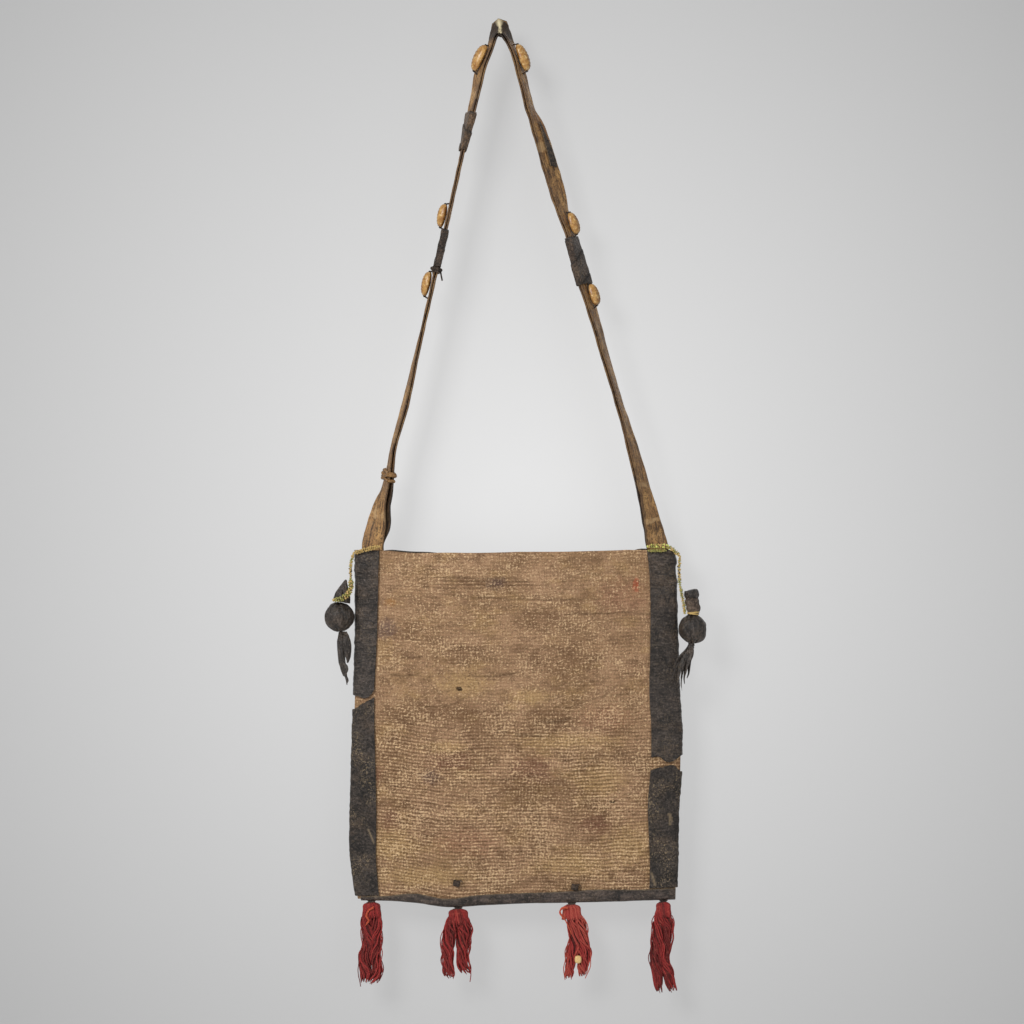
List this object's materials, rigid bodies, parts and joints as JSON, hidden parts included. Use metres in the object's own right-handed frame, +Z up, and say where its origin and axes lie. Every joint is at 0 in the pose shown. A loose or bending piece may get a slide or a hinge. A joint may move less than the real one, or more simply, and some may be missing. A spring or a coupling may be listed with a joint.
{
  "type": "shoulder bag",
  "caption": "Flat shoulder bag of ribbed brown cloth bound in dark leather, on a long folded strap with cowrie shells, side pendants and red yarn tassels.",
  "frame": {"origin": "middle of the underside of the strap's arch, where a peg carries the bag", "axes": "+Z up, -Y towards the viewer of the plain side, +X to the viewer's right"},
  "size_m": [0.3429, 0.0291, 0.8767],
  "materials": {
    "ribbed_cloth": "worn ribbed brown cloth",
    "strap_cloth": "folded brown cloth, polished by wear",
    "dark_leather": "dark wrinkled goat leather",
    "cowrie_shell": "yellowed polished shell",
    "bead_strings": "small yellow and green beads on cord",
    "red_yarn": "twisted red yarn"
  },
  "bodies": {
    "bag": {"bottom_binding": "dark_leather", "cowrie_1": "cowrie_shell", "cowrie_2": "cowrie_shell", "cowrie_3": "cowrie_shell", "cowrie_4": "cowrie_shell", "cowrie_5": "cowrie_shell", "cowrie_6": "cowrie_shell", "face_knot_left": "dark_leather", "face_knot_right": "dark_leather", "face_panel": "ribbed_cloth", "left_band_lower": "dark_leather", "left_band_upper": "dark_leather", "left_bead_row": "bead_strings", "rear_panel": "dark_leather", "right_band_lower": "dark_leather", "right_band_upper": "dark_leather", "right_bead_row": "bead_strings", "right_bead_row_lower": "bead_strings", "strap": "strap_cloth", "strap_patch_right": "dark_leather", "strap_tie": "dark_leather", "strap_wrap_left": "dark_leather", "strap_wrap_left_upper": "dark_leather", "strap_wrap_right": "dark_leather"},
    "left_string": {"left_bead_string": "bead_strings"},
    "left_pendant": {"left_pendant_hood": "dark_leather", "left_pendant_beads": "bead_strings", "left_pendant_ball": "dark_leather", "left_pendant_tails": "dark_leather"},
    "right_string": {"right_bead_string": "bead_strings"},
    "right_pendant": {"right_pendant_beads": "bead_strings", "right_pendant_cap": "dark_leather", "right_pendant_neck": "dark_leather", "right_pendant_tie": "bead_strings", "right_pendant_ball": "dark_leather", "right_pendant_tails": "dark_leather"},
    "thong_1": {"tassel_thong_1": "dark_leather"},
    "yarn_1": {"tassel_1": "red_yarn"},
    "thong_2": {"tassel_thong_2": "dark_leather"},
    "yarn_2": {"tassel_2": "red_yarn"},
    "thong_3": {"tassel_thong_3": "dark_leather"},
    "yarn_3": {"tassel_3": "red_yarn", "tassel_3_bead": "bead_strings"},
    "thong_4": {"tassel_thong_4": "dark_leather"},
    "yarn_4": {"tassel_4": "red_yarn"}
  },
  "joints": [
    {"name": "left_string_swing", "type": "hinge", "parent": "bag", "child": "left_string", "pos_m": [-0.131, -0.01115, -0.4619], "axis": [1, 0, 0], "range_deg": [-80, 80]},
    {"name": "left_pendant_swing", "type": "hinge", "parent": "left_string", "child": "left_pendant", "pos_m": [-0.1337, -0.01115, -0.4837], "axis": [0, 1, 0], "range_deg": [0, 70]},
    {"name": "right_string_swing", "type": "hinge", "parent": "bag", "child": "right_string", "pos_m": [0.1611, -0.01115, -0.4648], "axis": [1, 0, 0], "range_deg": [-80, 0]},
    {"name": "right_pendant_swing", "type": "hinge", "parent": "right_string", "child": "right_pendant", "pos_m": [0.1614, -0.01115, -0.4918], "axis": [0, 1, 0], "range_deg": [-70, 0]},
    {"name": "thong_1_sway", "type": "hinge", "parent": "bag", "child": "thong_1", "pos_m": [-0.1155, -0.0008, -0.77499], "axis": [0, 1, 0], "range_deg": [-20, 20]},
    {"name": "tassel_1_swing", "type": "hinge", "parent": "thong_1", "child": "yarn_1", "pos_m": [-0.1155, -0.0008, -0.77759], "axis": [1, 0, 0], "range_deg": [-55, 55]},
    {"name": "thong_2_sway", "type": "hinge", "parent": "bag", "child": "thong_2", "pos_m": [-0.0375, -0.0008, -0.78044], "axis": [0, 1, 0], "range_deg": [-20, 20]},
    {"name": "tassel_2_swing", "type": "hinge", "parent": "thong_2", "child": "yarn_2", "pos_m": [-0.0375, -0.0008, -0.78304], "axis": [1, 0, 0], "range_deg": [-55, 55]},
    {"name": "thong_3_sway", "type": "hinge", "parent": "bag", "child": "thong_3", "pos_m": [0.0645, -0.0008, -0.77687], "axis": [0, 1, 0], "range_deg": [-20, 20]},
    {"name": "tassel_3_swing", "type": "hinge", "parent": "thong_3", "child": "yarn_3", "pos_m": [0.0645, -0.0008, -0.77947], "axis": [1, 0, 0], "range_deg": [-55, 55]},
    {"name": "thong_4_sway", "type": "hinge", "parent": "bag", "child": "thong_4", "pos_m": [0.147, -0.0008, -0.77444], "axis": [0, 1, 0], "range_deg": [-20, 20]},
    {"name": "tassel_4_swing", "type": "hinge", "parent": "thong_4", "child": "yarn_4", "pos_m": [0.147, -0.0008, -0.77704], "axis": [1, 0, 0], "range_deg": [-55, 55]}
  ]
}
